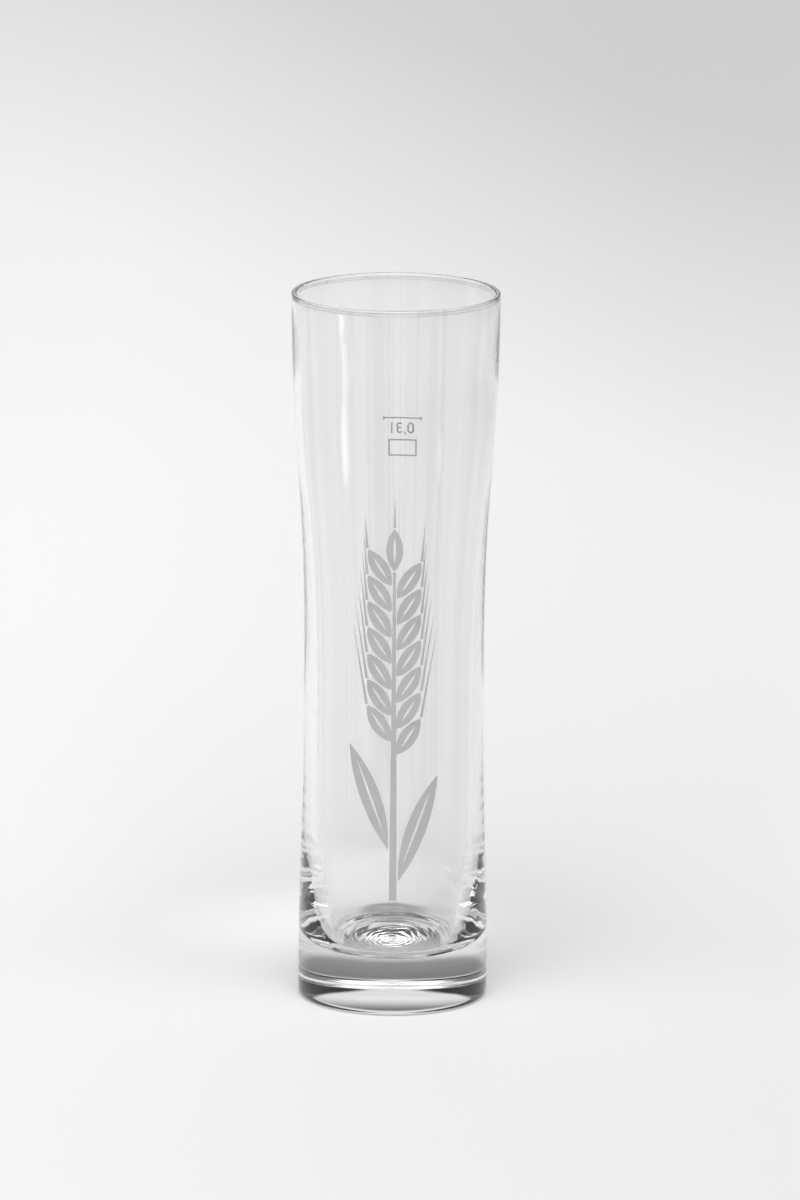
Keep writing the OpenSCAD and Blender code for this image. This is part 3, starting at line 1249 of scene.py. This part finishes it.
@dataclass(frozen=True)
class Softbox:
    """A flat studio lamp that faces a point."""

    name: str
    place: Tone
    target: Tone
    width: float
    height: float
    radiance: float
    face: Face = Face.SQUARE
    beam: float = math.pi

    def build(self) -> bpy.types.Object:
        """Hangs the lamp.

        Returns:
            The lamp.
        """
        data = bpy.data.lights.new(self.name, "AREA")
        data.shape = self.face.value
        data.size, data.size_y = self.width, self.height
        data.energy = self.radiance * math.pi * self.width * self.height
        data.spread = self.beam
        lamp = put(self.name, data)
        lamp.matrix_world = facing(Vector(self.place), Vector(self.target))
        lamp.visible_camera = False
        return lamp


@dataclass
class Studio:
    """Pale table, soft lamps and the camera at the photograph's angle."""

    table_reach: float = 6.0
    card_tone: float = 0.8
    dark_tone: float = 0.004
    card_half_width: float = math.radians(4.0)
    card_spread: float = 0.7
    card_curl: float = 2.4
    card_soft_edge: float = math.radians(5.0)
    card_top: float = math.radians(21.0)
    card_top_soft: float = math.radians(18.0)
    ceiling_tone: float = 2.0
    ceiling_start: float = math.radians(34.0)
    ceiling_end: float = math.radians(60.0)
    ceiling_back: float = 0.1
    ceiling_front: float = -0.35
    strip_beam: float = math.radians(24.0)
    image_width: int = 800
    image_height: int = 1200
    focal_pixels: float = 8860.0
    sensor: float = 36.0
    far_clip: float = 50.0
    camera_distance: float = 2.670
    camera_height: float = 0.7369
    aim_right: float = 1.73 * MM
    aim_height: float = 125.4 * MM
    roll: float = math.radians(0.33)
    bounces: int = 96

    def table(self) -> bpy.types.Object:
        """Lays the pale table that the glass stands on.

        Returns:
            The table.
        """
        reach = self.table_reach
        mesh = bpy.data.meshes.new("table_top")
        corners = [(-reach, -reach, 0.0), (reach, -reach, 0.0), (reach, reach, 0.0), (-reach, reach, 0.0)]
        mesh.from_pydata(corners, [], [(0, 1, 2, 3)])
        table = put("table_top", mesh)
        mesh.materials.append(TablePaper().material())
        return table

    def room(self) -> None:
        """Puts the room round the table: a white card behind, a pale ceiling in front and dark sides."""
        world = bpy.data.worlds.new("studio_room")
        world.use_nodes = True
        nodes = NodeTree(world.node_tree)
        place = nodes.add("ShaderNodeTexCoord").outputs["Generated"]
        axes = nodes.axes(place)
        sideways = nodes.math("ARCCOSINE", nodes.axes(nodes.heading(place))["Y"])
        rise = nodes.math("ARCSINE", axes["Z"])
        curl = nodes.math("MULTIPLY_ADD", rise, self.card_curl, self.card_spread)
        reach = nodes.math("MULTIPLY_ADD", rise, curl, self.card_half_width)
        inside = nodes.math("SUBTRACT", reach, sideways)
        card = nodes.ramp(inside, (-self.card_soft_edge, self.card_soft_edge))
        top = nodes.ramp(rise, (self.card_top, self.card_top + self.card_top_soft), (1.0, 0.0))
        white = nodes.math("MULTIPLY", card, top)
        tone = nodes.ramp(white, (0.0, 1.0), (self.dark_tone, self.card_tone), is_soft=False)
        ceiling = nodes.ramp(rise, (self.ceiling_start, self.ceiling_end), (0.0, self.ceiling_tone))
        forward = nodes.ramp(axes["Y"], (self.ceiling_front, self.ceiling_back), (1.0, 0.0))
        whole = nodes.math("MULTIPLY_ADD", ceiling, forward, tone)
        nodes.feed(world.node_tree.nodes["Background"].inputs["Color"], whole)
        bpy.context.scene.world = world

    def lamps(self) -> list[bpy.types.Object]:
        """Hangs the softboxes: a wide one overhead and strips for the highlights on the wall.

        Returns:
            The lamps.
        """
        boxes = [
            Softbox("key_softbox", (-0.05, -1.1, 1.55), (0.0, 0.0, 0.05), 1.3, 1.6, 2.4),
            Softbox("left_top_strip", (-0.212, -0.1325, 0.178), (-0.029, -0.0512, 0.216),
                    0.032, 0.024, 0.045, Face.SQUARE, self.strip_beam),
            Softbox("left_upper_strip", (-0.212, -0.1325, 0.163), (-0.029, -0.0512, 0.206),
                    0.012, 0.018, 0.045, Face.ROUND, self.strip_beam),
            Softbox("left_lower_strip", (-0.212, -0.1325, 0.1095), (-0.029, -0.0512, 0.183),
                    0.034, 0.043, 0.045, Face.ROUND, self.strip_beam),
            Softbox("right_strip", (0.197, -0.154, 0.1025), (0.027, -0.052, 0.178),
                    0.008, 0.026, 0.05, Face.ROUND, self.strip_beam),
        ]
        return [box.build() for box in boxes]

    def camera(self) -> bpy.types.Object:
        """Sets up the camera at the photograph's viewing angle.

        Returns:
            The camera.
        """
        data = bpy.data.cameras.new("photo_camera")
        data.sensor_width = self.sensor
        data.lens = self.focal_pixels * self.sensor / max(self.image_width, self.image_height)
        data.clip_end = self.far_clip
        camera = put("photo_camera", data)
        place = Vector((0.0, -self.camera_distance, self.camera_height))
        pose = facing(place, Vector((self.aim_right, 0.0, self.aim_height)))
        camera.matrix_world = pose @ Matrix.Rotation(self.roll, 4, "Z")
        bpy.context.scene.camera = camera
        return camera

    def build(self) -> None:
        """Sets up the whole studio and the way that light is followed through the glass."""
        self.camera()
        self.table()
        self.room()
        self.lamps()
        scene = bpy.context.scene
        scene.view_settings.view_transform = "Standard"
        scene.cycles.max_bounces = self.bounces
        scene.cycles.glossy_bounces = self.bounces
        scene.cycles.transmission_bounces = self.bounces


def main() -> None:
    """Builds the glass, its prints and the studio, from two boxes read off the frame."""
    logging.basicConfig(level=logging.INFO, format="%(message)s")
    low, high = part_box("glass_body")
    form = GlassForm(height=high[2] - low[2], rim_radius=(high[0] - low[0]) / 2)
    vessel = GlassVessel(form)
    vessel.dress(vessel.build(), ClearGlass())
    printer = WallPrint(form)
    BarleyEar(printer).build(FiredEnamel())
    # Painted light: the back prints get a lighter copy of the same enamel, to make up for the shade they
    # lie in behind the glass.
    lightened_back_enamel = FiredEnamel("lightened_back_enamel", light=(0.86, 0.86, 0.86), dark=(0.79, 0.79, 0.79))
    line_low, line_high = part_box("fill_line_print")
    MeasureMark(printer, fill_height=(line_low[2] + line_high[2]) / 2).build(lightened_back_enamel)
    Studio().build()


if __name__ == "__main__":
    main()
